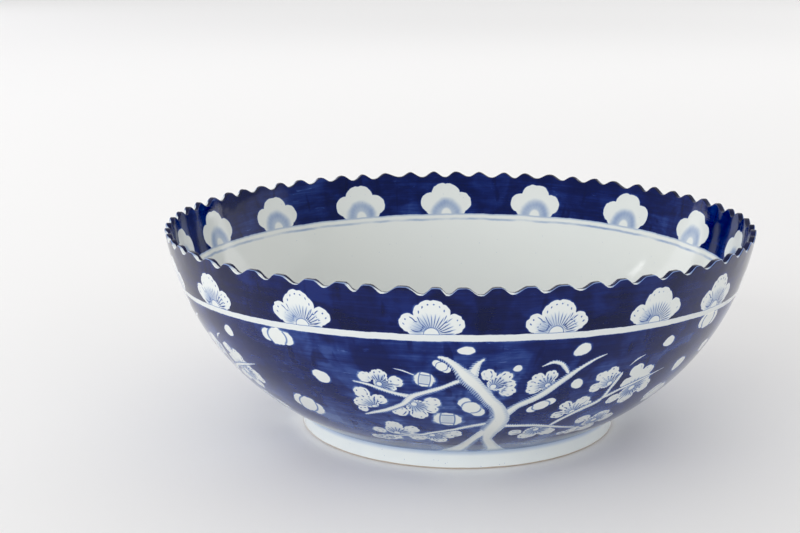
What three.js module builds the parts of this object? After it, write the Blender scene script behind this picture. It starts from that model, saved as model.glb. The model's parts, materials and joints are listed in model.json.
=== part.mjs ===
// Round porcelain serving bowl with a toothed rim and a ring foot.
// Millimetres, +Z up. The origin is the centre of the circle that the foot rests on.
//
// A bowl this wide is thrown in sections that are luted together with slip before firing:
//   lower_bowl  floor and lower wall
//   rim_wall    upper wall, with the teeth cut into its edge
//   foot_ring   turned ring that the bowl stands on
import * as THREE from 'three';

// Overall size
const RIM_RADIUS = 192; // outside, at the tips of the teeth
const HEIGHT = 136;

// Outside of the wall, from the foot to the rim
const WALL_BOTTOM = new THREE.Vector2(105.5, 12); // where the wall meets the foot
const WALL_RISE = THREE.MathUtils.degToRad(30); // slope of the wall as it leaves the foot
const RIM_LEAN = THREE.MathUtils.degToRad(9); // how far the rim leans out from upright
const WALL_BOTTOM_HANDLE = 46; // how long the curve keeps each of those two directions
const RIM_HANDLE = 64;

// Inside of the wall
const RIM_THICKNESS = 3.8;
const FLOOR_Z = 16;
const FLOOR_RADIUS = 84; // the flat part of the floor
const FLOOR_CORNER_RADIUS = 100; // where floor and wall would meet without their fillet
const INSIDE_RIM_HANDLE = 94;
const FILLET_SHARE = 0.12; // share of the inside curve that the fillet takes

// Teeth
const TEETH = 64;
const TOOTH_DEPTH = 4;
const TOOTH_ROOT_Z = 124; // nothing below this height moves when the teeth are cut
const TOOTH_ROUNDNESS = 0.85; // 1 is a plain cosine wave, less widens the notches

// Luted joints
const LUTE_GAP = 0.3; // thickness of the slip in each joint
const RIM_JOINT_OUTSIDE_Z = 106;
const RIM_JOINT_INSIDE_Z = 102; // the joint is bevelled, so it is lower inside

// Foot
const UNDERSIDE_Z = 9; // ceiling of the recess inside the foot
const RECESS_RADIUS = 93.5;
const FOOT_RADIUS = 104.3;
const FOOT_BEVEL = 1.4;
const FOOT_FACE_INNER = 97;
const FOOT_INSIDE_RADIUS = 95.5;

// Facets
const BOWL_FACETS = 96;
const RIM_FACETS = 4 * TEETH;
const WALL_STEPS = 10;
const FILLET_STEPS = 3;

const cobaltGlaze = new THREE.MeshStandardMaterial({ color: 0x26346f, roughness: 0.12, metalness: 0 });
const footGlaze = new THREE.MeshStandardMaterial({ color: 0xdfe4e2, roughness: 0.18, metalness: 0 });

// A direction in the profile plane, given by its angle from the horizontal.
function direction(angle) {
  return new THREE.Vector2(Math.cos(angle), Math.sin(angle));
}

// Points of a curve between two heights, both ends included, going up.
function stretch(curve, fromZ, toZ, steps) {
  const dense = curve.getPoints(400);
  const radiusAt = (z) => {
    const above = Math.max(1, dense.findIndex((p) => p.y >= z - 1e-6));
    const [a, b] = [dense[above - 1], dense[above]];
    return THREE.MathUtils.mapLinear(z, a.y, b.y, a.x, b.x);
  };
  const share = (k) => (k / steps) ** 1.2; // the wall bends most at its bottom
  return Array.from({ length: steps + 1 }, (_, k) => {
    const z = THREE.MathUtils.lerp(fromZ, toZ, share(k));
    return new THREE.Vector2(radiusAt(z), z);
  });
}

function outsideCurve() {
  const tip = new THREE.Vector2(RIM_RADIUS, HEIGHT);
  const up = direction(Math.PI / 2 - RIM_LEAN);
  return new THREE.CubicBezierCurve(
    WALL_BOTTOM,
    WALL_BOTTOM.clone().addScaledVector(direction(WALL_RISE), WALL_BOTTOM_HANDLE),
    tip.clone().addScaledVector(up, -RIM_HANDLE),
    tip,
  );
}

function insideCurve() {
  const corner = new THREE.Vector2(FLOOR_CORNER_RADIUS, FLOOR_Z);
  const tip = new THREE.Vector2(RIM_RADIUS - RIM_THICKNESS, HEIGHT);
  const up = direction(Math.PI / 2 - RIM_LEAN);
  return new THREE.CubicBezierCurve(corner, corner, tip.clone().addScaledVector(up, -INSIDE_RIM_HANDLE), tip);
}

// The rounded corner between the flat floor and the inside of the wall.
function floorFillet(wall) {
  const start = new THREE.Vector2(FLOOR_RADIUS, FLOOR_Z);
  const corner = new THREE.Vector2(FLOOR_CORNER_RADIUS, FLOOR_Z);
  return new THREE.QuadraticBezierCurve(start, corner, wall.getPoint(FILLET_SHARE));
}

// A solid of revolution about Z. The profile runs anticlockwise, with radius as x and height as y.
function turned(profile, facets) {
  return new THREE.LatheGeometry(profile, facets).rotateX(Math.PI / 2);
}

// Slides the edge of the wall down its own slope wherever a notch is.
function cutTeeth(geometry) {
  const position = geometry.getAttribute('position');
  const point = new THREE.Vector3();
  for (let i = 0; i < position.count; i += 1) {
    point.fromBufferAttribute(position, i);
    const share = (point.z - TOOTH_ROOT_Z) / (HEIGHT - TOOTH_ROOT_Z);
    if (share > 0) {
      const angle = Math.atan2(point.y, point.x);
      const notch = ((1 - Math.cos(TEETH * angle)) / 2) ** TOOTH_ROUNDNESS;
      const drop = TOOTH_DEPTH * notch * share;
      const radius = Math.hypot(point.x, point.y);
      const narrower = (radius - drop * Math.tan(RIM_LEAN)) / radius;
      position.setXYZ(i, point.x * narrower, point.y * narrower, point.z - drop);
    }
  }
  return geometry;
}

function lowerBowl() {
  const outside = outsideCurve();
  const inside = insideCurve();
  const fillet = floorFillet(inside).getPoints(FILLET_STEPS);
  const filletTop = fillet[FILLET_STEPS];
  return turned(
    [
      new THREE.Vector2(0, UNDERSIDE_Z),
      new THREE.Vector2(RECESS_RADIUS, UNDERSIDE_Z),
      ...stretch(outside, WALL_BOTTOM.y, RIM_JOINT_OUTSIDE_Z, WALL_STEPS),
      ...stretch(inside, filletTop.y, RIM_JOINT_INSIDE_Z, WALL_STEPS).reverse(),
      ...fillet.slice(0, FILLET_STEPS).reverse(),
      new THREE.Vector2(0, FLOOR_Z),
    ],
    BOWL_FACETS,
  );
}

function rimWall() {
  const outside = stretch(outsideCurve(), RIM_JOINT_OUTSIDE_Z + LUTE_GAP, TOOTH_ROOT_Z, 2);
  const inside = stretch(insideCurve(), RIM_JOINT_INSIDE_Z + LUTE_GAP, TOOTH_ROOT_Z, 2);
  const profile = [
    ...outside,
    new THREE.Vector2(RIM_RADIUS, HEIGHT),
    new THREE.Vector2(RIM_RADIUS - RIM_THICKNESS, HEIGHT),
    ...inside.reverse(),
    outside[0].clone(),
  ];
  return cutTeeth(turned(profile, RIM_FACETS));
}

function footRing() {
  const profile = [
    new THREE.Vector2(FOOT_FACE_INNER, 0),
    new THREE.Vector2(FOOT_RADIUS - FOOT_BEVEL, 0),
    new THREE.Vector2(FOOT_RADIUS, FOOT_BEVEL),
    new THREE.Vector2(WALL_BOTTOM.x, WALL_BOTTOM.y - LUTE_GAP),
    new THREE.Vector2(RECESS_RADIUS, UNDERSIDE_Z - LUTE_GAP),
    new THREE.Vector2(FOOT_INSIDE_RADIUS, FOOT_BEVEL),
    new THREE.Vector2(FOOT_FACE_INNER, 0),
  ];
  return turned(profile, BOWL_FACETS);
}

function named(name, geometry, material) {
  const mesh = new THREE.Mesh(geometry, material);
  mesh.name = name;
  return mesh;
}

const bowl = new THREE.Group();
bowl.add(
  named('lower_bowl', lowerBowl(), cobaltGlaze),
  named('rim_wall', rimWall(), cobaltGlaze),
  named('foot_ring', footRing(), footGlaze),
);

export default bowl;
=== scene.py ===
"""A round porcelain serving bowl: white prunus reserved on brushed cobalt, under a clear glaze.

Metres, +Z up, with the front of the bowl towards -Y. A place on the wall is given by its
azimuth in degrees, 0 at the front and positive towards +X, and by its height in millimetres.
"Rise" is the length along the curve of the wall, measured up from the foot.
"""
import json
import math

import bpy
import numpy as np
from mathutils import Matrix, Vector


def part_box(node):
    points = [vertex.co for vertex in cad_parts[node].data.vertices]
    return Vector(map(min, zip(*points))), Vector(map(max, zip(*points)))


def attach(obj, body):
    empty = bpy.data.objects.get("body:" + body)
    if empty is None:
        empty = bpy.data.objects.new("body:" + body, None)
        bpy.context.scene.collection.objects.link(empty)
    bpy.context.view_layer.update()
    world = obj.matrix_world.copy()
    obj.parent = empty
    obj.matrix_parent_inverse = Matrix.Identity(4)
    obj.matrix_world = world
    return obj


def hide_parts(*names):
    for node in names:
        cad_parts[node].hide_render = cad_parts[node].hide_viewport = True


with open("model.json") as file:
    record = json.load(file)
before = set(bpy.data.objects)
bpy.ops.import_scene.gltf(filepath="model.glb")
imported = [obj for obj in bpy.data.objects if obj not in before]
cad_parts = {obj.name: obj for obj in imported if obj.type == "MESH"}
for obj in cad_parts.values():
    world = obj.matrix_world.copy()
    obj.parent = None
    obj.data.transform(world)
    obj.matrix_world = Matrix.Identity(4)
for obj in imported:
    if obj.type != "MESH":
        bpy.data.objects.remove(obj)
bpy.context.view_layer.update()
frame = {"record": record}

MM = 0.001
random = np.random.default_rng(7)

# -------- dimensions, from the frame

LUTE_GAP = 0.3 * MM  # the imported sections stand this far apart, and here they touch
_, foot_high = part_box("foot_ring")
lower_low, lower_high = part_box("lower_bowl")
rim_low, rim_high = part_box("rim_wall")
mounts = {mount["name"]: mount for mount in frame["record"]["mounts"]}

RIM_RADIUS = rim_high.x
HEIGHT = rim_high.z
FOOT_TOP = np.array([foot_high.x, foot_high.z + LUTE_GAP])
UNDERSIDE_Z = lower_low.z
FLOOR_Z = mounts["inner_floor"]["pos_m"][2]
OUTER_JOINT_Z = lower_high.z
INNER_JOINT_Z = rim_low.z - LUTE_GAP
RIM_THICKNESS = 3.8 * MM
FLAT_FLOOR_RADIUS = 84 * MM
FLOOR_FILLET = 4.6 * MM  # height of the curve from the floor into the wall
RECESS_RADIUS = 93.5 * MM  # of the hollow under the bowl, at its top
FOOT_RADIUS = 104.3 * MM
FOOT_INNER_RADIUS = 95.9 * MM
FOOT_ROUND = 1.3 * MM

WALL_RISE = 30  # degrees from level, where the wall leaves the foot
RIM_LEAN = 9  # degrees out from upright, at the rim
LEAN = math.tan(math.radians(RIM_LEAN))
FOOT_PULL, RIM_PULL, INNER_RIM_PULL = 46 * MM, 64 * MM, 94 * MM  # handles of the wall's curves

TEETH = 64
TOOTH_DEPTH = 4 * MM
TOOTH_ROOT_Z = HEIGHT - 12 * MM
# azimuths of the notches across the front; the others are nearly evenly spaced
FRONT_NOTCHES = [-59.6, -52.9, -46.6, -41, -34.3, -28.2, -22.5, -17.1, -12.2, -5.9, -1.5,
                 3.8, 9, 14.5, 20.6, 25.9, 30.9, 37, 43, 48.5, 55.1]
COLUMNS = 12 * TEETH
ARRIS = 0.7 * MM  # radius of the rim's two edges

# -------- where things are painted

LINE_Z = 106.1  # middle of the white line outside, at the front and the back
LINE_HALF = 2.15
LINE_THINNING = 0.25  # how much its half-width shrinks there, twice over
LINE_SAG = 2.6  # how much lower the painted line runs at the two sides, twice over
INNER_BAND_Z = 103.8  # lower edge of the blue band inside
INNER_LINE_Z = 99.8
BAND_BUMP = 1.2  # how far the band's edge strays upwards
BAND_BUMP_AZIMUTH = 148
TREE_TURNS = (0, 90, 180, 267)
MEAN_RADIUS = 165 * MM  # of the painted wall, for lengths along a bough

# A blossom is an azimuth, a height, the radius of its heart, and its petals. A petal is a
# circle: its centre across and up from the heart, and its radius, all in millimetres.
TREE_BLOSSOMS = [
    (-15, 73.2, 1.8, [(-7.8, 4.8, 4.2), (0.8, 6.9, 5.4), (9.8, 2.9, 4.6), (2, 0.5, 5.5), (6, -1.5, 4)]),
    (-17.5, 55, 1.9, [(-5, 12.9, 5.3), (4.3, 7.9, 4.9), (-8, 2.6, 5), (-8, -3.2, 3.2), (-2.5, 5, 6.5)]),
    (-8.8, 59.8, 1.9, [(-9, -8.6, 5), (2, -10, 5.4), (10.8, 2.4, 5), (9.4, -4, 4.6), (2, -3, 7)]),
    (-15.2, 32.4, 2.1, [(0.5, 11, 5.5), (10.6, 7.5, 4.6), (-10.5, 1.5, 4.4), (0, 4.5, 6.5), (6, 3, 5)]),
    (-6.2, 32.6, 2, [(13.5, 3.5, 4.8), (3.5, -7, 5.2), (-9, -4.5, 5), (1, -1.5, 6.5), (9, 0.5, 5)]),
    (6.8, 73.8, 1.9, [(-3.5, 9.5, 4.7), (6, 7, 4.6), (8.8, 1.5, 4), (8.4, -4.2, 4.7), (2, 2.5, 6)]),
    (17.5, 72.6, 1.8, [(0.6, 7.8, 4.3), (-6.8, 6.6, 4), (-9.3, 2.6, 3.2), (-7.6, -1.8, 4.8), (-2, 2, 6)]),
    (26.2, 48.8, 2, [(3, 10.2, 4.6), (6.8, 6.2, 3.4), (-7, 8, 4.4), (-8.6, -1.8, 4.3), (-1, 3.6, 6.5)]),
    (31.8, 67.8, 1.8, [(-2, 10.4, 3.9), (1.2, 6.4, 3.6), (-8.4, 7.6, 4.3), (-9, -1.4, 4.3), (-3, 2.2, 6)]),
    (39.6, 59.8, 2.4, [(-6, 17.2, 5), (4, 14, 4.9), (-8.2, 7, 4.8), (-1, 10, 7), (5, 5, 7),
                       (10.6, 0, 5.3), (12, -3.6, 4.4), (1.6, -10.4, 5.8), (-10, -8, 4.8), (0, -3, 8)]),
    (36.4, 35.4, 2.2, [(-12, 5.2, 5), (2, 5.8, 6), (11, -1.2, 5.5), (0, 0, 7.5),
                       (-9, -12.2, 5.2), (2, -12, 5.2)]),
    (19.6, 35.4, 2, [(-12.5, -2, 4.3), (-3, -8, 6), (9, -5.5, 5.2), (-1, -2, 6.5), (5, -2.5, 6)]),
    (-20, 26, 1.5, [(-5, -1, 3.4), (0, 0, 3.8), (5, 1.2, 3.6), (9.5, 2.8, 2.6)]),
    (31.5, 27.5, 1.5, [(-5, -1, 3), (0, 0, 4), (6, 0, 3.8)]),
]
BORDER_PETALS = [(0, 11.3, 10.7), (-12.7, 7.2, 6.1), (12.7, 7.2, 6.1),
                 (-8.3, 4.6, 6.3), (8.3, 4.6, 6.3), (0, 4, 6)]
INNER_PETALS = [(-2.4, 15.4, 8.8), (2.4, 15.4, 8.8), (-12.3, 9.4, 7.7), (12.3, 9.4, 7.7), (0, 10, 10),
                (-9, 5, 6.8), (9, 5, 6.8), (0, 3, 6)]
BORDER_HEART, INNER_HEART = 4.2, 3.6
# azimuths of the border's blossoms, outside and inside
BORDER = [-50.9, -27.9, -4.4, 16.9, 36.8, 55, 76, 97.5, 120, 142, 163.5, 185, 206.5, 227, 247.5, 268, 289]
INNER_BORDER = [92, 114.5, 137, 161, 183, 204.5, 228, 249.5, 268.5, 290, 313, 336, 359, 22, 46, 69]

# buds: azimuth, height, direction of the long axis in degrees clockwise from up, half-length,
# half-width, kind
PLAIN, CROSSED, SEPALLED = 0, 1, 2
TREE_BUDS = [
    (1.5, 98.3, 90, 4.9, 2.8, PLAIN),
    (10.9, 85.8, 75, 2.6, 2.2, PLAIN),
    (23.8, 71.2, 320, 4.6, 3.7, PLAIN),
    (22.6, 95.2, 55, 5.9, 4.1, PLAIN),
    (43.3, 90.1, 75, 4.6, 4, PLAIN),
    (-27.4, 73.6, 118, 5.9, 4.9, PLAIN),
    (-6.1, 78.3, 98, 6.4, 5.8, CROSSED),
    (-2.1, 48.2, 92, 8.3, 7.4, CROSSED),
    (-2.8, 87.7, 130, 5.9, 3.1, SEPALLED),
    (2.9, 58.2, 140, 10.2, 5.1, SEPALLED),
    (17.6, 57.1, 56, 9.2, 4.1, SEPALLED),
    (-34.7, 96.2, 92, 11.8, 6, SEPALLED),
    (-36.4, 46.4, 122, 10.5, 10, SEPALLED),
]
LOOSE_BUDS = [
    (53, 68, 20, 5.9, 5.2, PLAIN),
    (141.5, 71, 60, 5.2, 4.6, PLAIN),
    (236, 66, 40, 5.4, 4.8, PLAIN),
]

# boughs, thickest first: points of azimuth, height and half-width
TRUNK = [
    [(12.4, 9, 7.5), (11.3, 15.2, 5.4), (9.7, 20.8, 4.1), (7.8, 28, 3.4), (7.6, 31, 3.8),
     (7.7, 36.2, 5.6), (8.4, 40.5, 6.4), (9.1, 45.8, 6), (9.2, 50, 5.3), (8.1, 57.8, 4.4),
     (6.5, 63, 4.2), (5, 69, 4.2), (3.8, 73.5, 4.4), (2.4, 78, 5), (1.5, 81, 4.5),
     (0.4, 85.4, 3), (-0.9, 89.8, 2.3), (-2.2, 92.8, 1.6), (-3.4, 94, 0.7)],
    [(7.2, 37, 4.4), (4.9, 31, 3.2), (4, 28, 3.1), (1.9, 20.8, 4), (-0.2, 15.2, 5.6), (-1.6, 9, 8)],
]
BRANCHES = [
    [(2, 77.5, 4.2), (2.6, 82, 3.4), (3.1, 86.4, 2.5), (3.8, 90.2, 1.4), (5, 93.4, 0.3)],
    [(2.2, 78.6, 2.2), (0.4, 77.8, 1.6), (-1.4, 75.2, 1.4), (-3.6, 72, 1.5), (-7.2, 67.8, 1.7),
     (-9, 65.1, 2.1), (-10.7, 59.9, 1.8), (-12.7, 56.4, 1.6), (-15.4, 52.8, 1.5),
     (-18.2, 50, 1.2), (-20.8, 47.4, 0.5)],
    [(8.4, 44.6, 2.2), (6.4, 44, 1.6), (3.1, 42, 1.4), (-0.6, 38.9, 1.3), (-6.3, 34.8, 1.2),
     (-8.9, 32.2, 1.1), (-15, 29.6, 0.5)],
    [(9.2, 47, 3.6), (10.4, 52.5, 3.2), (12.3, 58.2, 2.6), (15.4, 63.2, 2.7), (17.4, 67.4, 2.7),
     (19.3, 72.7, 2.5), (21.3, 78, 2.1), (23.2, 82.6, 1.4), (25.8, 87.5, 0.9), (28.2, 90.2, 0.3)],
    [(9.6, 41.8, 2.4), (12.5, 41.4, 1.7), (18.2, 40, 1.5), (22, 37.8, 1.4), (26.5, 34.8, 1.2),
     (31.5, 31.6, 0.6)],
]
TWIGS = [
    [(-9, 65.1, 2), (-12, 66.9, 1.5), (-14.7, 69.2, 1.3), (-17.3, 71.9, 1.1), (-20.4, 73.4, 0.4)],
    [(22.6, 38.2, 1.3), (24.3, 42.4, 1.6), (26.5, 46.7, 1.6), (28.8, 50.5, 2), (31.2, 53.6, 1.8),
     (32.5, 56.5, 1.6), (34.7, 59.6, 1.4), (37, 62, 1.2), (41, 65.2, 1), (47, 69.8, 0.2)],
    [(32.5, 56.5, 1.8), (32.7, 62, 1.2), (33.3, 69, 1.4), (33.8, 74.3, 1.1)],
    [(34.8, 78.4, 0.1), (36.2, 82.2, 0.7), (38.2, 84.8, 0.1)],
    [(-12, 85.2, 0.1), (-10, 83.9, 0.5), (-7.9, 81.2, 0.4)],
    [(15.4, 86.2, 0.2), (17.4, 88.6, 1.1), (19, 87.4, 1.35), (20, 84.6, 1.3), (21, 80.4, 1)],
]

# -------- the curve of the wall


def heading(degrees):
    """A direction in the profile plane, by its angle from level."""
    return np.array([math.cos(math.radians(degrees)), math.sin(math.radians(degrees))])


def cubic(start, start_handle, end_handle, end, steps=600):
    """Points along a cubic Bezier curve."""
    share = np.linspace(0, 1, steps)[:, None]
    rest = 1 - share
    early = rest**3 * start + 3 * rest**2 * share * start_handle
    return early + 3 * rest * share**2 * end_handle + share**3 * end


rim_tip = np.array([RIM_RADIUS, HEIGHT])
inner_tip = np.array([RIM_RADIUS - RIM_THICKNESS, HEIGHT])
floor_corner = np.array([100 * MM, FLOOR_Z])  # where wall and floor would meet with no fillet
up_the_rim = heading(90 - RIM_LEAN)

foot_handle = FOOT_TOP + FOOT_PULL * heading(WALL_RISE)
OUTSIDE = cubic(FOOT_TOP, foot_handle, rim_tip - RIM_PULL * up_the_rim, rim_tip)
INSIDE = cubic(floor_corner, floor_corner, inner_tip - INNER_RIM_PULL * up_the_rim, inner_tip)


def radius_at(curve, z):
    """The radius of the wall at a height, carried on in a straight line past the rim."""
    return np.interp(z, curve[:, 1], curve[:, 0]) + np.maximum(z - curve[-1, 1], 0) * LEAN


def rise_at(curve, z):
    """The length along the curve, from its lower end to a height."""
    steps = np.hypot(*np.diff(curve, axis=0).T)
    return np.interp(z, curve[:, 1], np.concatenate([[0], np.cumsum(steps)]))


def arc(centre, radius, start, end, steps):
    """Points of an arc in the profile plane, between two angles in degrees."""
    return [centre + radius * heading(angle) for angle in np.linspace(start, end, steps)]


# -------- meshes of revolution


class Turned:
    """A closed solid of revolution. Each row of the profile is a radius and a height, and the
    profile runs anticlockwise. It closes on itself, or else starts and ends on the axis."""

    def __init__(self, rows, closed):
        self.rows = np.array(rows)
        self.closed = closed
        self.azimuth = np.linspace(0, 2 * np.pi, COLUMNS + 1)
        self.radius = np.repeat(self.rows[:, :1], COLUMNS + 1, axis=1)
        self.height = np.repeat(self.rows[:, 1:], COLUMNS + 1, axis=1)

    def band_rows(self):
        """For each band of faces, the row below it and the row above it."""
        below = np.arange(len(self.rows) - (0 if self.closed else 1))
        return below, (below + 1) % len(self.rows)

    def corners(self, values):
        """Values on the grid of rows and columns, as four corners for each face."""
        below, above = self.band_rows()
        face = [values[below, :-1], values[below, 1:], values[above, 1:], values[above, :-1]]
        return np.stack(face, axis=-1).reshape(-1, 4)

    def build(self, name, materials, bands):
        """Makes the object. Each band of faces has the number of its material."""
        x = self.radius * np.sin(self.azimuth)
        y = -self.radius * np.cos(self.azimuth)
        points = np.stack([x, y, self.height], axis=-1)[:, :-1].reshape(-1, 3).tolist()
        column = np.arange(COLUMNS)
        right = (column + 1) % COLUMNS
        low, high = (row[:, None] * COLUMNS for row in self.band_rows())
        faces = np.stack([low + column, low + right, high + right, high + column], axis=-1)
        faces = faces.reshape(-1, 4).tolist()
        if not self.closed:
            # a fan of triangles to the axis at the first row and at the last
            centre = np.full(COLUMNS, len(points))
            last = (len(self.rows) - 1) * COLUMNS
            faces += np.stack([right, column, centre], axis=-1).tolist()
            faces += np.stack([last + column, last + right, centre + 1], axis=-1).tolist()
            points += [(0, 0, self.rows[0, 1]), (0, 0, self.rows[-1, 1])]
            bands = [*bands, bands[0], bands[-1]]
        mesh = bpy.data.meshes.new(name)
        mesh.from_pydata(points, [], faces)
        mesh.polygons.foreach_set("material_index", np.repeat(bands, COLUMNS).astype(np.int32))
        for item in materials:
            mesh.materials.append(item)
        mesh.shade_smooth()
        piece = bpy.data.objects.new(name, mesh)
        bpy.context.scene.collection.objects.link(piece)
        return piece


FAR = (99, 0, 0)  # the coordinates in a motif of a face that is nowhere near one
DEEP = (0, -99, 1)  # the levels of a face that is far below every painted line
PETAL_LAYERS = ("petal_near", "petal_next", "petal_third")


def give(piece, name, corners=FAR, elsewhere=FAR):
    """Stores a vector on each corner of a piece's faces: one for each corner of the grid, and
    the same one on any faces past it."""
    values = np.tile(np.array(elsewhere, np.float32), (len(piece.data.loops), 1))
    values[: np.size(corners) // 3] = corners
    attribute = piece.data.attributes.new(name, "FLOAT_VECTOR", "CORNER")
    attribute.data.foreach_set("vector", values.reshape(-1))


def sharpen(piece, circles):
    """Marks the edges that run round the piece at the given radii and heights as sharp."""
    mesh = piece.data
    x, y, z = np.array([vertex.co for vertex in mesh.vertices]).T
    ends = np.array([edge.vertices for edge in mesh.edges])
    sharp = np.zeros(len(ends), bool)
    for circle_radius, circle_z in circles:
        on = np.hypot(np.hypot(x, y) - circle_radius, z - circle_z) < 0.02 * MM
        sharp |= on[ends].all(axis=1)
    attribute = mesh.attributes.new("sharp_edge", "BOOLEAN", "EDGE")
    attribute.data.foreach_set("value", sharp)


# -------- laying out the painting


def smooth_line(points, steps=6):
    """A Catmull-Rom curve through given points, as rows of azimuth, rise and half-width."""
    azimuth, z, half = np.array(points, float).T
    rise = rise_at(OUTSIDE, z * MM) + np.minimum(z * MM - FOOT_TOP[1], 0)
    way = np.column_stack([np.radians(azimuth), rise, half * MM])
    padded = np.concatenate([[2 * way[0] - way[1]], way, [2 * way[-1] - way[-2]]])
    line = []
    for a, b, c, d in zip(padded, padded[1:], padded[2:], padded[3:]):
        for t in np.arange(steps) / steps:
            line.append(
                0.5 * (2 * b + (c - a) * t + (2 * a - 5 * b + 4 * c - d) * t**2
                       + (3 * b - a - 3 * c + d) * t**3)
            )
    return np.array(line + [way[-1]])


def bough_segments(lines):
    """The short straight stretches of each tree's boughs: the azimuth, rise and half-width of
    both ends, the length of bough before it, and whether it is the first and the last."""
    segments = []
    for turn in TREE_TURNS:
        for line in lines:
            way = smooth_line(line)
            way[:, 0] += math.radians(turn)
            steps = np.hypot(np.diff(way[:, 0]) * MEAN_RADIUS, np.diff(way[:, 1]))
            before = np.concatenate([[0], np.cumsum(steps)[:-1]])
            first = np.arange(len(steps)) == 0
            segments.append(np.column_stack([way[:-1], way[1:], before, first, first[::-1]]))
    return np.concatenate(segments)


def wrapped(angle):
    """The same angle, between half a turn back and half a turn on."""
    return (angle + np.pi) % (2 * np.pi) - np.pi


def in_bud(across, along, direction, reach, half):
    """Offsets from the middle of a bud, as coordinates that reach 1 at its outline."""
    u = (across * np.cos(direction) - along * np.sin(direction)) / half
    v = (across * np.sin(direction) + along * np.cos(direction)) / reach
    return u, v


def beside(segment, across, along, radius):
    """A place seen from a stretch of bough: the step from its start to its end, the share of that
    step that the place has passed, the same kept within it, and the half-width there."""
    azimuth, rise, half, next_azimuth, next_rise, next_half = segment[:6]
    step_across, step_along = (next_azimuth - azimuth) * radius, next_rise - rise
    share = (across * step_across + along * step_along) / (step_across**2 + step_along**2)
    inside = np.clip(share, 0, 1)
    return step_across, step_along, share, inside, half + (next_half - half) * inside


def nearest(distances):
    """For each face, which of several arrays of distances is the least there."""
    chosen, near = 0, np.inf
    for index, distance in enumerate(distances):
        chosen = np.where(distance < near, index, chosen)
        near = np.minimum(distance, near)
    return chosen


def columns(rows, chosen):
    """The row chosen for each face, as one column of numbers for each value in a row."""
    return np.array(rows, float)[chosen].T[:, :, None]


class Canvas:
    """The corners of a painted surface's faces: their azimuth, height, rise and radius."""

    def __init__(self, turned, curve):
        self.azimuth = turned.corners(np.broadcast_to(turned.azimuth, turned.height.shape))
        self.height = turned.corners(turned.height)
        self.rise = turned.corners(rise_at(curve, turned.height))
        self.radius = turned.corners(turned.radius)
        self.middle_azimuth = self.azimuth.mean(axis=1)
        self.middle_rise = self.rise.mean(axis=1)
        self.middle_radius = self.radius.mean(axis=1)

    def from_middles(self, azimuth, rise):
        """Offsets across and up from a place to the middle of every face."""
        across = wrapped(self.middle_azimuth - azimuth) * self.middle_radius
        return across, self.middle_rise - rise

    def from_corners(self, azimuth, rise):
        """Offsets across and up from each face's own place to each of its corners."""
        middle = self.middle_azimuth[:, None]
        turn = wrapped(middle - azimuth) + self.azimuth - middle
        return turn * self.radius, self.rise - rise

    def buds(self, buds):
        """For each face, its coordinates in the nearest bud, and that bud's kind."""
        chosen = nearest(
            np.hypot(*in_bud(*self.from_middles(azimuth, rise), *shape))
            for azimuth, rise, *shape, _ in buds
        )
        azimuth, rise, *shape, kind = columns(buds, chosen)
        return corner_vectors(*in_bud(*self.from_corners(azimuth, rise), *shape), kind)

    def beyond(self, azimuth, rise, over, above, radius):
        """How far the middle of every face is outside a petal, given in metres."""
        across, along = self.from_middles(azimuth, rise)
        return np.hypot(across - over, along - above) - radius

    def hearts(self, blossoms):
        """For each face, millimetres across and up from the heart of the blossom whose petals
        are nearest, and the radius of that heart."""
        chosen = nearest(
            np.min([self.beyond(azimuth, rise, *np.multiply(petal, MM)) for petal in petals], axis=0)
            for azimuth, rise, _, petals in blossoms
        )
        azimuth, rise, heart = columns([blossom[:3] for blossom in blossoms], chosen)
        across, along = self.from_corners(azimuth, rise)
        return corner_vectors(across / MM, along / MM, heart)

    def petals(self, blossoms):
        """For each face, its nearest few petals: the offset from each in that petal's radii,
        and the radius in millimetres."""
        circles = [
            (azimuth, rise, *np.multiply(petal, MM))
            for azimuth, rise, _, petals in blossoms
            for petal in petals
        ]
        near = np.full((len(PETAL_LAYERS), len(self.rise)), np.inf)
        chosen = np.zeros(near.shape, int)
        for index, circle in enumerate(circles):
            distance = self.beyond(*circle)
            here = np.full(distance.shape, index)
            for layer in range(len(near)):
                closer = distance < near[layer]
                near[layer][closer], distance[closer] = distance[closer], near[layer][closer]
                chosen[layer][closer], here[closer] = here[closer], chosen[layer][closer]
        found = []
        for layer in chosen:
            azimuth, rise, over, above, radius = columns(circles, layer)
            across, along = self.from_corners(azimuth, rise)
            u, v = (across - over) / radius, (along - above) / radius
            found.append(corner_vectors(u, v, radius / MM))
        return found

    def boughs(self, lines):
        """For each face, in millimetres: its offset from the nearest bough, that bough's
        half-width there, and the length along it. Past either end the half-width shrinks."""
        shrink = 1.4
        segments = bough_segments(lines)
        chosen = nearest(self.beyond_segment(segment) for segment in segments)
        segment = columns(segments, chosen)
        before, first, last = segment[6:]
        across, along = self.from_corners(*segment[:2])
        radius = self.middle_radius[:, None]
        step_across, step_along, share, inside, half = beside(segment, across, along, radius)
        size = np.hypot(step_across, step_along)
        offset = (across * step_along - along * step_across) / size
        past = (share - inside) * size
        half = half - shrink * past * np.where(past < 0, -first, last)
        return corner_vectors(offset / MM, half / MM, (before + share * size) / MM)

    def beyond_segment(self, segment):
        """How far the middle of every face is outside one stretch of a bough."""
        across, along = self.from_middles(*segment[:2])
        step_across, step_along, _, inside, half = beside(segment, across, along, self.middle_radius)
        return np.hypot(across - inside * step_across, along - inside * step_along) - half

    def place(self, level):
        """In millimetres: the height, the height above a painted line, and the half-width of
        that line, which thins towards the sides."""
        half = LINE_HALF - LINE_THINNING * (1 - np.cos(2 * self.azimuth))
        return corner_vectors(self.height / MM, (self.height - level(self.azimuth)) / MM, half)


def corner_vectors(*components):
    """Three components, as one vector for each corner."""
    return np.stack(np.broadcast_arrays(*components), axis=-1).reshape(-1, 3)


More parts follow.
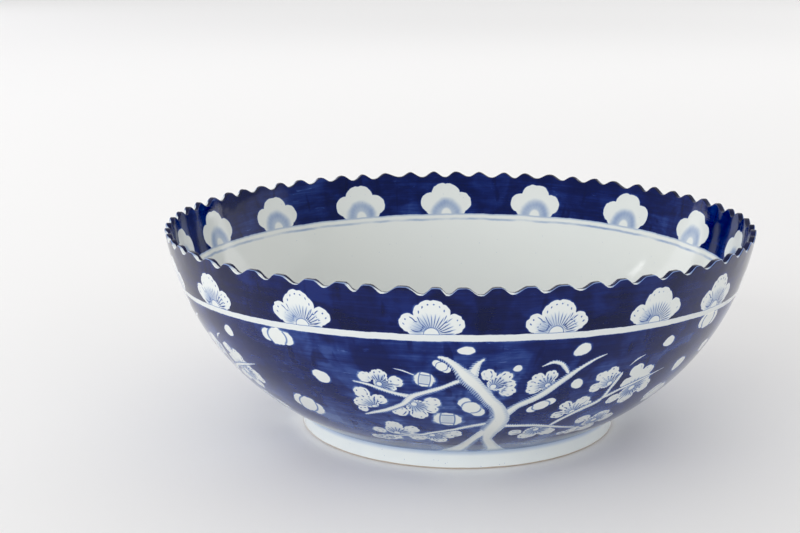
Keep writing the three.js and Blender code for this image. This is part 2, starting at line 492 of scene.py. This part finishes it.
def line_level(azimuth):
    """The height of the white line outside, which the painter let sag at the two sides."""
    return (LINE_Z - LINE_SAG * (1 - np.cos(2 * azimuth))) * MM


def band_level(azimuth):
    """The height of the lower edge of the blue band inside, which rises a little at one place."""
    bump = np.clip(np.cos(wrapped(azimuth - math.radians(BAND_BUMP_AZIMUTH)) * 1.8), 0, 1) ** 2
    return (INNER_BAND_Z + BAND_BUMP * bump) * MM


def border(azimuths, petals, curve, level, heart):
    """Blossoms standing on a line, each a little different in size and lean."""
    blossoms = []
    for azimuth in np.radians(azimuths):
        scale = random.uniform(0.96, 1.03)
        lean = random.uniform(-0.05, 0.05)
        sized = [
            (over * scale + lean * above, above * scale, radius * scale)
            for over, above, radius in petals
        ]
        blossoms.append((azimuth, rise_at(curve, level(azimuth)), heart, sized))
    return blossoms


def around(marks, turns=TREE_TURNS):
    """The same blossoms or buds at each turn, placed by radians and by rise in metres."""
    return [
        (math.radians(azimuth + turn), rise_at(OUTSIDE, z * MM), *rest)
        for turn in turns
        for azimuth, z, *rest in marks
    ]


def every_bud():
    """The buds of the four trees and those between them, in radians and metres."""
    return [
        (azimuth, rise, math.radians(direction), reach * MM, half * MM, kind)
        for azimuth, rise, direction, reach, half, kind in around(TREE_BUDS) + around(LOOSE_BUDS, (0,))
    ]


# -------- shader arithmetic


def new_node(tree, kind, entries):
    """A new shader node, with the numbers or the sockets that go into its inputs."""
    node = tree.nodes.new("ShaderNode" + kind)
    for name, value in entries.items():
        if isinstance(value, bpy.types.NodeSocket):
            tree.links.new(value, node.inputs[name])
        else:
            node.inputs[name].default_value = value
    return node


def operation(name):
    """A method that makes a maths node, of the field itself and whatever else it is given."""
    return lambda self, *values: self.node(name, *values)


class Field:
    """A number that varies over a surface, as the output of a shader node, with arithmetic."""

    def __init__(self, tree, socket):
        self.tree = tree
        self.socket = socket

    def node(self, name, *values):
        values = [value.socket if isinstance(value, Field) else value for value in (self, *values)]
        node = new_node(self.tree, "Math", dict(enumerate(values)))
        node.operation = name
        return Field(self.tree, node.outputs[0])

    __add__ = __radd__ = operation("ADD")
    __sub__ = operation("SUBTRACT")
    __mul__ = operation("MULTIPLY")
    __truediv__ = operation("DIVIDE")
    __abs__ = operation("ABSOLUTE")
    power = operation("POWER")
    least = operation("MINIMUM")
    most = operation("MAXIMUM")
    fraction = operation("FRACT")
    root = operation("SQRT")
    angle = operation("ARCTAN2")

    def __rsub__(self, other):
        return (self * -1) + other

    def step(self, low, high):
        """0 at low and beyond, 1 at high and beyond, and smooth between."""
        entries = {"Value": self.socket, "From Min": min(low, high), "From Max": max(low, high),
                   "To Min": low > high, "To Max": low < high}
        node = new_node(self.tree, "MapRange", entries)
        node.interpolation_type = "SMOOTHSTEP"
        return Field(self.tree, node.outputs["Result"])

    def toward(self, other, share):
        """This value where share is 0, and the other where it is 1."""
        return self + (other - self) * share


def length(u, v):
    """The length of a vector in a motif's coordinates."""
    return (u * u + v * v).root()


COBALT = (0.0125, 0.033, 0.215)
WHITE_OUTSIDE = (0.76, 0.775, 0.73)
WHITE_INSIDE = (0.745, 0.75, 0.69)
WHITE_FOOT = (0.79, 0.825, 0.80)


class Painting:
    """Builds one glazed material: reads the surface's attributes and makes noises."""

    def __init__(self, name):
        self.material = bpy.data.materials.new(name)
        self.material.use_nodes = True
        self.tree = self.material.node_tree
        self.shader = self.tree.nodes["Principled BSDF"]
        self.position = self.tree.nodes.new("ShaderNodeTexCoord").outputs["Object"]

    def attribute(self, name):
        """The three components of a vector that was given to the piece."""
        reader = self.new("Attribute", {})
        reader.attribute_name = name
        return self.split(reader.outputs["Vector"])

    def split(self, socket):
        return [Field(self.tree, part) for part in self.new("SeparateXYZ", {0: socket}).outputs]

    def new(self, kind, entries):
        return new_node(self.tree, kind, entries)

    def stretched(self, x, y, z):
        """The position, with each axis multiplied."""
        scaler = self.new("VectorMath", {0: self.position, 1: (x, y, z)})
        scaler.operation = "MULTIPLY"
        return scaler.outputs[0]

    def noise(self, x, y=None, z=None, detail=2.0, roughness=0.5, warp=0.0):
        """Noise about 0, with x, y and z features to the metre, or x along every axis."""
        entries = {"Vector": self.stretched(x, y or x, z or x), "Scale": 1, "Detail": detail,
                   "Roughness": roughness, "Distortion": warp}
        return Field(self.tree, self.new("TexNoise", entries).outputs["Fac"]) - 0.5

    def cells(self, x, y, z):
        """Patches about 0, each one even, with x, y and z patches to the metre."""
        texture = self.new("TexVoronoi", {"Vector": self.stretched(x, y, z), "Scale": 1})
        texture.feature = "SMOOTH_F1"
        texture.inputs["Smoothness"].default_value = 0.25
        return self.split(texture.outputs["Color"])[0] - 0.5

    def specks(self, per_metre, size):
        """1 in small round specks, 0 elsewhere."""
        texture = self.new("TexVoronoi", {"Vector": self.position, "Scale": per_metre})
        return Field(self.tree, texture.outputs["Distance"]).step(size, size * 0.5)

    def colour(self, red, green, blue):
        entries = {0: red.socket, 1: green.socket, 2: blue.socket}
        return self.new("CombineColor", entries).outputs[0]

    def tint(self, density, white):
        """The colour of cobalt on white: each unit of density multiplies it by COBALT again."""
        channels = []
        for shade, pale in zip(COBALT, white):
            base = self.new("Value", {}).outputs[0]
            base.default_value = shade
            channels.append(Field(self.tree, base).power(density) * pale)
        return self.colour(*channels)

    def glaze(self, colour, bump_height, roughness):
        """Clear glossy glaze over the colour, with the unevenness of a hand-thrown wall."""
        bump = self.new("Bump", {"Strength": 0.5, "Distance": 1, "Height": bump_height.socket})
        links = self.tree.links
        links.new(colour, self.shader.inputs["Base Color"])
        links.new(roughness.socket, self.shader.inputs["Roughness"])
        links.new(bump.outputs[0], self.shader.inputs["Normal"])
        self.shader.inputs["IOR"].default_value = 1.5
        self.shader.inputs["Specular IOR Level"].default_value = 0.45
        return self.material


# -------- the painter's marks


def brushed_ground(paint):
    """Density of cobalt laid on with a broad brush, mostly in level strokes that overlap."""
    streaks = paint.noise(14, 14, 320, detail=3, roughness=0.65, warp=0.6)
    fine = paint.noise(60, 60, 1100)
    upright = paint.noise(150, 150, 14, warp=0.3)
    broad = paint.noise(7, detail=1)
    pools = paint.noise(26, 26, 40, detail=3, roughness=0.65, warp=1.0)
    patches = paint.cells(30, 30, 62)
    tall_patches = paint.cells(64, 64, 22)
    thin = paint.noise(60, 60, 210, detail=3, roughness=0.6, warp=1.8).step(0.14, 0.25)
    bars = paint.noise(120, 120, 9, detail=1, warp=0.4).step(0.13, 0.22)
    density = streaks * 0.95 + fine * 0.4 + upright * 0.4 + pools * 1.5 + bars * 0.35 + broad * 0.35
    density = density + patches * 0.5 + tall_patches * 0.4 + 1.24
    density = density - (density - 1.5).most(0) * 0.55
    return density.most(0.8) - thin * 0.45


def blossom_shape(paint, scallop=0.0, lobes=1.0):
    """Millimetres outside a blossom's outline, the offset from its heart, and the heart's
    radius. The outline may be nicked, with lobes to the radian."""
    edge = None
    for name in PETAL_LAYERS:
        u, v, radius = paint.attribute(name)
        circle = (length(u, v) - 1) * radius
        edge = circle if edge is None else edge.least(circle)
    wobble = paint.noise(240, detail=1) * 1.3 + paint.noise(90, detail=0) * 1.2
    u, v, heart = paint.attribute("heart")
    if scallop:
        nick = abs((u.angle(v) * lobes).fraction() - 0.5).step(0.25, 0.5)
        edge = edge + nick * scallop
    return edge + wobble, u, v, heart


def blossom(paint):
    """How white a blossom is, the density of its markings, and its distance outside."""
    lobes = 2.9
    edge, u, v, heart = blossom_shape(paint, scallop=0.5, lobes=lobes)
    white = edge.step(0.22, -0.22)
    radius = length(u, v)
    big = heart.step(3, 4)
    turn = u.angle(v)
    disc = radius - heart + paint.noise(200) * 0.5
    spread = radius / (heart * 1.7 + 4.2)
    inside = edge.step(-0.4, -3)

    cloud = paint.noise(75)
    shaded = (u * (0.05 - big * 0.14) - v * 0.05 + cloud * 1.8 + 0.15).step(-0.6, 0.8)
    wash = spread.step(1.3, 0.3) * (shaded * 0.7 + 0.3) * inside
    lines = (turn * 3.0 + turn * big * 2.4 + paint.noise(60) * 0.5 + radius * 0.03).fraction()
    lines = abs(lines - 0.5).step(0.22, 0.06)
    reach = paint.noise(330, detail=0) * 0.2 + 1.2
    along = (spread - reach).step(0.03, -0.5) * disc.step(0.1, 0.7)
    heavy = (u * 0.12 + cloud * 1.2 + 0.25).step(-0.6, 1) * 0.68 + 0.1
    strokes = lines * along * heavy * edge.step(-0.4, -1.4)

    around_dots = (turn * lobes + turn * big * lobes * 0.9).fraction() - 0.5
    dot = length(around_dots * radius / (big * lobes * 0.9 + lobes), edge + 1.9 + big * 0.9)
    dot_strength = paint.noise(70, detail=0).step(-0.25, 0.15)
    dots = dot.step(0.68, 0.22) * disc.step(1, 2) * dot_strength * 0.62
    ring = abs(disc - 0.1).step(0.45, 0.08) * (v + 1.2).step(-1, 1) * 0.3
    density = wash * (0.3 - big * 0.06) + strokes + dots + ring
    density = density * disc.step(-0.5, 0.1) + 0.025
    return white, density, edge


def bud(paint):
    """An oval bud; or a barrel with a square in the middle; or one with a sepal at each end."""
    across, along, kind = paint.attribute("bud")
    wobble = paint.noise(330, detail=1) * 0.3 + paint.noise(120, detail=0) * 0.3
    crossed = abs(kind - CROSSED).step(0.6, 0.4)
    sepalled = abs(kind - SEPALLED).step(0.6, 0.4)
    side = abs(across)
    end = abs(along)
    oval = length(across * (1 - along * 0.2), along) - 1
    waist = end.step(0.62, 0.78) * end.step(0.95, 0.8)
    barrel = (side.power(3) + end.power(2) * 0.96).root() - 0.94 + waist * 0.06
    middle = length(across, along / 0.6) - 1
    lobes = length(across / 0.78, (end - 0.6) / 0.4) - 1
    edge = oval.toward(barrel, crossed).toward(middle.least(lobes), sepalled) + wobble
    white = edge.step(0.08, -0.08)
    upright = abs(end - 0.52 + side * side * 0.1).step(0.085, 0.02)
    level = abs(side - 0.62).step(0.11, 0.03) * end.step(0.52, 0.45)
    panel = side.step(0.62, 0.4) * end.step(0.5, 0.3)
    overlap = abs(middle + 0.02).step(0.13, 0.03) * sepalled * lobes.step(0.1, -0.1)
    density = (upright.most(level) * 0.36 + panel * 0.07) * crossed + overlap * 0.36 + 0.02
    return white, density, edge


def bough(paint, name, feather):
    """A bough left white, its edges combed with short strokes of blue across it."""
    offset, half, along = paint.attribute(name)
    away = abs(offset)
    left = offset.step(0.4, -0.4)
    comb = (along * 0.62 + away * 0.3 + paint.noise(120, detail=1) * 2.2).fraction()
    comb = abs(comb - 0.5) * 2
    longer = paint.noise(110) + 0.5
    tooth = (comb - 0.5) * (left * 1.1 + 0.25) * longer * feather
    ragged = paint.noise(260, detail=1) * 0.7
    edge = away - half * (1.14 - feather * 0.12) - tooth * half.least(2.2) - ragged
    white = edge.step(0.16, -0.16)
    across = away / half.most(0.05)
    marks = comb.step(0.6, 0.2) * across.step(0.4, 0.95) * (left * 0.75 + 0.15)
    wash = across.step(0.35, 1) * (left * 0.6 + 0.3)
    density = (marks * 0.7 + wash * 0.3) * (longer * 1.2 + 0.2)
    return white, density + 0.015, edge


def halo(edge, width):
    """How near a place is to a shape's outline, where the brush went round it with thin colour."""
    return edge.step(width, width * 0.2)


def outside_density(paint):
    """Density of cobalt on the outside of the bowl."""
    z, above_line, line_half = paint.attribute("place")
    ground = brushed_ground(paint) + above_line.step(-1, 1) * 0.42 - z.step(85, 30) * 0.3
    flower, flower_density, flower_edge = blossom(paint)
    bud_white, bud_density, bud_edge = bud(paint)
    boughs = [bough(paint, "twig", 0.4), bough(paint, "branch", 0.5), bough(paint, "trunk", 1)]
    twig_edge, branch_edge, trunk_edge = (edge for _, _, edge in boughs)

    near = halo(flower_edge, 1.3).most(halo(bud_edge, 0.3)).most(halo(trunk_edge, 1.3))
    near = near.most(halo(branch_edge, 1)).most(halo(twig_edge, 0.9))
    ground = ground - near * (paint.noise(110) * 1.3 + 0.34)

    density = ground.toward(flower_density, flower).toward(bud_density, bud_white)
    bough_edge = branch_edge.least(twig_edge).least(trunk_edge)
    density = density + bough_edge.step(0.9, 0.2) * flower * 0.26
    for white, marks, _ in boughs:
        density = density.toward(marks, white)

    height = above_line + paint.noise(34, 34, 4) * 1.5 + paint.noise(300, 300, 4) * 0.6
    line = (abs(height) - line_half).step(0.22, -0.22)
    upper = abs(height - line_half).step(0.42, 0.12) * flower * 0.22
    shade = abs(height + line_half + 0.2).step(1, 0) * 0.25
    density = (density - shade).toward(0.03, line) + upper
    above_foot = z - FOOT_TOP[1] / MM
    rooted = trunk_edge.step(6, 0) * above_foot.step(5, 0.5)
    density = density.toward(0.1, rooted * 0.8)
    foot_line = above_foot.step(2.4, -0.4)
    density = density.toward(0.13, foot_line * 0.9)
    return density


def outside_glaze():
    """The painting on the outside, under clear glaze with a few specks of iron."""
    paint = Painting("cobalt_outside")
    density = outside_density(paint)
    density = rim_arris(paint, density)
    density = density + paint.specks(210, 0.07) * 0.12
    return finish_glaze(paint, density, WHITE_OUTSIDE)


def inside_glaze():
    """The blue band inside, with its blossoms and the thin line below it, and the plain wall."""
    paint = Painting("cobalt_inside")
    _, above_band, _ = paint.attribute("place")
    edge, u, v, _ = blossom_shape(paint)
    ground = brushed_ground(paint) + 0.12
    ground = ground - halo(edge, 1.3) * (paint.noise(80) * 0.8 + 0.25)
    cloud = paint.noise(70) * 0.8 + 0.8
    disc = length(u, v * 0.85)
    outer = (length(u * 0.86, v * 0.8) - 9.2 + paint.noise(90) * 3).step(2.4, -2.6)
    arch = outer * disc.step(3, 5) * (disc.step(3, 11) * 0.5 + 0.5) * cloud
    rays = abs((u.angle(v) * 3.4 + paint.noise(60) * 1.2).fraction() - 0.5).step(0.3, 0.05)
    density = ground.toward(arch * (rays * 0.02 + 0.3) + 0.03, edge.step(0.3, -0.3))
    height = above_band + paint.noise(24, 24, 4) * 2.0 + paint.noise(140, 140, 4) * 0.9
    below = height.step(0.35, -0.25)
    bare = 0.015 + (paint.noise(9, detail=3) + 0.5) * 0.02
    density = density.toward(bare, below)
    under = height + (INNER_BAND_Z - INNER_LINE_Z)
    thin_line = abs(under + paint.noise(40, 40, 8) * 1.4).step(1.3, 0.1)
    density = density + thin_line * (paint.noise(50, 50, 8) * 0.5 + 0.11).most(0.04)
    density = density + abs(height).step(1.6, 0.2) * below * 0.14
    density = rim_arris(paint, density)
    density = density + paint.specks(180, 0.06) * 0.14
    return finish_glaze(paint, density, WHITE_INSIDE)


def rim_arris(paint, density):
    """The density, but pale where the glaze has drawn off the rim's outer edge: widest and
    whitest down the first slope of each notch, and at its bottom."""
    over, wide, _ = paint.attribute("rim")
    patchy = paint.noise(130, detail=1)
    width = wide * (patchy * 1.6 + 0.75) + patchy * 0.5 + 0.3
    bare = (abs(over - wide * 0.5) - width).step(0.2, -0.14)
    return density.toward((1 - wide) * 0.3 + 0.02, bare)


def rim_glaze():
    """The cut faces of the teeth, dark with cobalt, and pale along their outer edge."""
    paint = Painting("rim_edge")
    density = brushed_ground(paint) * 0.6 + 1.3
    return finish_glaze(paint, rim_arris(paint, density), WHITE_OUTSIDE)


def finish_glaze(paint, density, white):
    """Clear glaze over a density of cobalt."""
    waves = paint.noise(16, 16, 22) * (1.1 * MM)
    peel = paint.noise(210) * (0.05 * MM)
    roughness = paint.noise(120) * 0.05 + 0.09
    return paint.glaze(paint.tint(density.most(0), white), waves + peel, roughness)


def foot_glaze():
    """Clear glaze over white body: greenish where it is thick, with bare clay at the bottom."""
    paint = Painting("foot_glaze")
    height, _, _ = paint.attribute("place")
    pool = height.step(8.5, FOOT_TOP[1] / MM + 0.5)
    cloud = paint.noise(40, detail=3) + 0.5
    density = pool * 0.14 + cloud * 0.03 + paint.specks(260, 0.07) * 0.3
    glazed = paint.tint(density, WHITE_FOOT)
    edge = height - 1.0 + paint.noise(60) * 0.8
    bare = edge.step(0.25, -0.15)
    toast = abs(edge).step(0.7, 0.1)
    grain = paint.noise(900) * 0.16 + paint.noise(80) * 0.2 + 1
    clay_shades = ((0.55, 0.14), (0.48, 0.15), (0.41, 0.15))
    clay = [(pale - toast * darker) * grain for pale, darker in clay_shades]
    mixer = paint.new("Mix", {})
    mixer.data_type = "RGBA"
    paint.tree.links.new(bare.socket, mixer.inputs["Factor"])
    paint.tree.links.new(glazed, mixer.inputs["A"])
    paint.tree.links.new(paint.colour(*clay), mixer.inputs["B"])
    roughness = (paint.noise(120) * 0.05 + 0.1).toward(0.75, bare)
    waves = paint.noise(60) * (0.25 * MM)
    grit = paint.noise(1400) * (0.12 * MM) * bare
    return paint.glaze(mixer.outputs["Result"], waves + grit, roughness)


def plain_glaze():
    """Clear glaze over white body, under the bowl."""
    paint = Painting("clear_glaze")
    cloud = paint.noise(30, detail=3) + 0.5
    density = cloud * 0.06 + paint.specks(140, 0.08) * 0.4
    return finish_glaze(paint, density, WHITE_OUTSIDE)


# -------- the three sections

OUTER, INNER, THIRD = 0, 1, 2  # a section's materials: outside, inside, and underneath or on top


def wall_heights(low, high, steps, crowd=1.0):
    """Heights of the rows of a wall, which may crowd towards its lower end."""
    return low + (high - low) * (np.arange(steps + 1) / steps) ** crowd


def wall_rows(curve, heights):
    return [(radius_at(curve, z), z) for z in heights]


def lower_bowl(materials):
    """The bowl from its foot up to the joint, with the floor inside and the face underneath."""
    base = [(RECESS_RADIUS * share, UNDERSIDE_Z) for share in (0.32, 0.66, 1)]
    outer = wall_rows(OUTSIDE, wall_heights(FOOT_TOP[1], OUTER_JOINT_Z, 58, 1.25))
    inner = wall_rows(INSIDE, wall_heights(FLOOR_Z + FLOOR_FILLET, INNER_JOINT_Z, 26, 1.3))
    start = np.array([FLAT_FLOOR_RADIUS, FLOOR_Z])
    share = np.linspace(0, 1, 9)[:-1, None]
    rest = 1 - share
    fillet = rest**2 * start + 2 * rest * share * floor_corner + share**2 * inner[0]
    floor = [(FLAT_FLOOR_RADIUS * share, FLOOR_Z) for share in (0.76, 0.36)]
    rows = base + outer + inner[::-1] + list(fillet[::-1]) + floor
    turned = Turned(rows, closed=False)
    bands = [THIRD] * len(base) + [OUTER] * len(outer)
    bands += [INNER] * (len(rows) - 1 - len(bands))
    piece = turned.build("bowl_lower_section", materials, bands)
    canvas = decorate(piece, turned, bands, around(TREE_BLOSSOMS) + outer_border)
    give(piece, "bud", canvas.buds(every_bud()))
    for name, lines in (("trunk", TRUNK), ("branch", BRANCHES), ("twig", TWIGS)):
        give(piece, name, canvas.boughs(lines))
    give(piece, "rim")
    sharpen(piece, [outer[0], outer[-1], inner[-1], base[-1]])
    return piece


def decorate(piece, turned, bands, outer_blossoms):
    """Gives a piece its blossoms, inside and outside, and its levels. Returns the outer canvas."""
    outside = Canvas(turned, OUTSIDE)
    inside = Canvas(turned, INSIDE)
    choose = np.repeat(bands, COLUMNS * 4)[:, None] == INNER
    hearts = np.where(choose, inside.hearts(inner_border), outside.hearts(outer_blossoms))
    give(piece, "heart", hearts)
    layers = zip(PETAL_LAYERS, inside.petals(inner_border), outside.petals(outer_blossoms))
    for name, inner_layer, outer_layer in layers:
        give(piece, name, np.where(choose, inner_layer, outer_layer))
    places = np.where(choose, inside.place(band_level), outside.place(line_level))
    give(piece, "place", places, DEEP)
    return outside


def cut_teeth(azimuth):
    """How far the rim is cut down at each azimuth, and how bare its outer edge is there. The
    teeth were cut by hand, so no two are quite alike: flat on top, with rounded notches. Each
    is laid out from crest to crest: "bent" runs from 0 to 1 there, and is 0.5 at the notch."""
    bottom = 0.13  # share of the way from a notch to its crest that is level
    bare_at, bareness = [0.14, 0.28, 0.5, 0.66], [0, 1, 1, 0]
    front = len(FRONT_NOTCHES)
    others = np.linspace(FRONT_NOTCHES[-1], 360 + FRONT_NOTCHES[0], TEETH - front + 2)[1:-1]
    others = others + random.uniform(-0.5, 0.5, len(others))
    notches = np.radians(np.concatenate([FRONT_NOTCHES, others]))
    before = np.roll(notches, 1)
    before[0] -= 2 * math.pi
    crest = (notches + before) / 2 + np.radians(random.uniform(-0.35, 0.35, TEETH))
    depth = TOOTH_DEPTH * random.uniform(0.82, 1.06, TEETH)
    worn = random.uniform(0, 0.4, TEETH) * MM
    flat_from = random.uniform(0.64, 0.82, TEETH)
    flat_from[front:] += 0.18  # the others are wider
    drop = np.zeros_like(azimuth)
    bare = np.zeros_like(azimuth)
    for index in range(TEETH):
        following = (index + 1) % TEETH
        span = (crest[following] - crest[index]) % (2 * math.pi)
        share = ((azimuth - crest[index]) % (2 * math.pi)) / span
        middle = ((notches[index] - crest[index]) % (2 * math.pi)) / span
        here = share < 1
        share = share[here]
        bent = np.interp(share, [0, middle, 1], [0, 0.5, 1])
        slope = np.clip((flat_from[index] - abs(2 * bent - 1)) / (flat_from[index] - bottom), 0, 1)
        notch = 0.5 * slope + 0.5 * slope**2 * (3 - 2 * slope)
        drop[here] = worn[index] + (worn[following] - worn[index]) * share + depth[index] * notch
        bare[here] = np.interp(bent, bare_at, bareness)
    return drop, bare


def rim_rows(curve, joint_z, steps):
    """Rows of one face of the rim's wall, from the joint up to just below the rounded edge."""
    below_teeth = wall_heights(joint_z, TOOTH_ROOT_Z, steps)
    teeth = wall_heights(TOOTH_ROOT_Z, HEIGHT - 1.6 * MM, 6)[1:]
    return wall_rows(curve, (*below_teeth, *teeth, HEIGHT - 1.1 * MM))


def rim_wall(materials):
    """The bowl above the joint, with its teeth."""
    outer = rim_rows(OUTSIDE, OUTER_JOINT_Z, 8)
    inner = rim_rows(INSIDE, INNER_JOINT_Z, 9)
    round_z = HEIGHT - ARRIS
    outer_round = np.array([radius_at(OUTSIDE, round_z) - ARRIS, round_z])
    inner_round = np.array([radius_at(INSIDE, round_z) + ARRIS, round_z])
    top = arc(outer_round, ARRIS, -4, 90, 6) + arc(inner_round, ARRIS, 90, 184, 6)
    rows = outer + top + inner[::-1]
    bands = [OUTER] * (len(outer) + 2) + [THIRD] * (len(top) - 5)
    bands += [INNER] * (len(rows) - len(bands))
    turned = Turned(rows, closed=True)
    drop, bare = cut_teeth(turned.azimuth)
    share = np.clip((turned.height - TOOTH_ROOT_Z) / (HEIGHT - TOOTH_ROOT_Z), 0, 1)
    turned.height -= drop * share
    turned.radius -= drop * share * LEAN

    piece = turned.build("bowl_rim_section", materials, bands)
    decorate(piece, turned, bands, outer_border)
    for name in ("bud", "trunk", "branch", "twig"):
        give(piece, name)
    along = np.concatenate([[0], np.cumsum(np.hypot(*np.diff(turned.rows, axis=0).T))])
    over = (along - along[len(outer) + 3]) / MM
    over = turned.corners(np.broadcast_to(over[:, None], turned.height.shape))
    bare = turned.corners(np.broadcast_to(bare, turned.height.shape))
    give(piece, "rim", corner_vectors(over, bare, 0))
    sharpen(piece, [outer[0], inner[0]])
    return piece


def foot_ring(materials):
    """The ring that the bowl stands on, with both edges of its bottom rounded."""
    inner_round = np.array([FOOT_INNER_RADIUS + FOOT_ROUND, FOOT_ROUND])
    outer_round = np.array([FOOT_RADIUS - FOOT_ROUND, FOOT_ROUND])
    recess_top = np.array([RECESS_RADIUS, UNDERSIDE_Z])
    in_bottom = arc(inner_round, FOOT_ROUND, 180, 270, 7)
    out_bottom = arc(outer_round, FOOT_ROUND, 270, 356, 7)
    flat = list(np.linspace(in_bottom[-1], out_bottom[0], 4)[1:-1])
    side = list(np.linspace(out_bottom[-1], FOOT_TOP, 5)[1:])
    hollow = list(np.linspace(recess_top, in_bottom[0], 4)[:-1])
    turned = Turned(in_bottom + flat + out_bottom + side + hollow, closed=True)
    piece = turned.build("bowl_foot", materials, [OUTER] * len(turned.rows))
    give(piece, "place", Canvas(turned, OUTSIDE).place(line_level))
    sharpen(piece, [FOOT_TOP, recess_top])
    return piece


def top_of_line(azimuth):
    """The height of the upper edge of the white line outside."""
    return line_level(azimuth) + LINE_HALF * MM


outer_border = border(BORDER, BORDER_PETALS, OUTSIDE, top_of_line, BORDER_HEART)
inner_border = border(INNER_BORDER, INNER_PETALS, INSIDE, band_level, INNER_HEART)
outside_material = outside_glaze()
inside_material = inside_glaze()
lower = lower_bowl([outside_material, inside_material, plain_glaze()])
rim = rim_wall([outside_material, inside_material, rim_glaze()])
foot = foot_ring([foot_glaze()])
for piece, node, slot in (
    (lower, "lower_bowl", "painted_glaze"),
    (rim, "rim_wall", "painted_glaze"),
    (foot, "foot_ring", "foot_glaze"),
):
    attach(piece, "root")
    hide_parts(node)

# -------- floor, light and camera

FLOOR_REACH = 9  # metres


def make_floor():
    bpy.ops.mesh.primitive_circle_add(vertices=96, radius=FLOOR_REACH, fill_type="NGON")
    floor = bpy.context.object
    floor.name = "floor"
    material = bpy.data.materials.new("pale_floor")
    material.use_nodes = True
    shader = material.node_tree.nodes["Principled BSDF"]
    shader.inputs["Base Color"].default_value = (0.845, 0.836, 0.828, 1)
    shader.inputs["Roughness"].default_value = 0.7
    shader.inputs["Specular IOR Level"].default_value = 0.2
    floor.data.materials.append(material)


def area_light(name, place, aim, size, power, colour, mirrored=False):
    """A soft light: its place and aim, its width and height, its watts and its colour. Only a
    mirrored one shows as a reflection in the glaze."""
    data = bpy.data.lights.new(name, "AREA")
    data.shape = "RECTANGLE"
    data.size, data.size_y = size
    data.energy = power
    data.color = colour
    light = bpy.data.objects.new(name, data)
    light.location = place
    direction = np.array(aim) - np.array(place)
    light.rotation_euler = Vector(direction).to_track_quat("-Z", "Y").to_euler()
    light.visible_glossy = mirrored
    bpy.context.scene.collection.objects.link(light)


def make_world():
    world = bpy.data.worlds.new("studio")
    world.use_nodes = True
    background = world.node_tree.nodes["Background"]
    background.inputs["Color"].default_value = (1, 1, 1, 1)
    background.inputs["Strength"].default_value = 0.64
    bpy.context.scene.world = world


def make_camera():
    """A camera in front of the bowl and above its rim, looking down and a little to the left."""
    distance, above_rim = 962.6 * MM, 190.6 * MM
    down, roll, left = 13.06, 0.12, 2.27
    data = bpy.data.cameras.new("camera")
    data.sensor_width = 36
    data.lens = 66.8
    camera = bpy.data.objects.new("camera", data)
    camera.location = (0, -distance, HEIGHT + above_rim)
    camera.rotation_euler = (math.radians(90 - down), math.radians(roll), math.radians(left))
    bpy.context.scene.collection.objects.link(camera)
    bpy.context.scene.camera = camera


make_floor()
make_world()
bowl = (0, 0, 0.05)
area_light("left", (-2.2, -0.2, 1.1), bowl, (3.4, 1.8), 15, (1, 1, 1))
area_light("left_window", (-3.4, 3.5, 1.72), bowl, (3.4, 3.2), 38, (0.92, 0.93, 1), mirrored=True)
area_light("front_left", (-2.8, -3.6, 1.7), bowl, (3.6, 2.4), 106, (0.98, 0.99, 1))
area_light("front_right", (3.2, -3.2, 1.6), bowl, (3.4, 2.4), 40, (1, 0.99, 0.97))
area_light("back", (0.2, 2.6, 2), bowl, (3, 1.6), 11, (1, 1, 1))
area_light("right_window", (3.6, 3.9, 1.72), bowl, (3, 3.2), 40, (0.98, 0.98, 1), mirrored=True)
area_light("right", (5.7, 1.2, 2.2), bowl, (4.2, 3.2), 20, (1, 0.99, 0.97), mirrored=True)
area_light("glint", (-1.74, 0.53, 1.15), (0.13, 0.11, 0.08), (0.12, 0.26), 0.4, (1, 1, 1), mirrored=True)
area_light("backdrop", (0, 6, 3), (0, 6, 0), (8, 4), 52, (0.97, 0.985, 1))
make_camera()
view = bpy.context.scene.view_settings
view.view_transform = "Standard"
view.use_curve_mapping = True
view.curve_mapping.black_level = (0.016, 0.0135, 0.012)
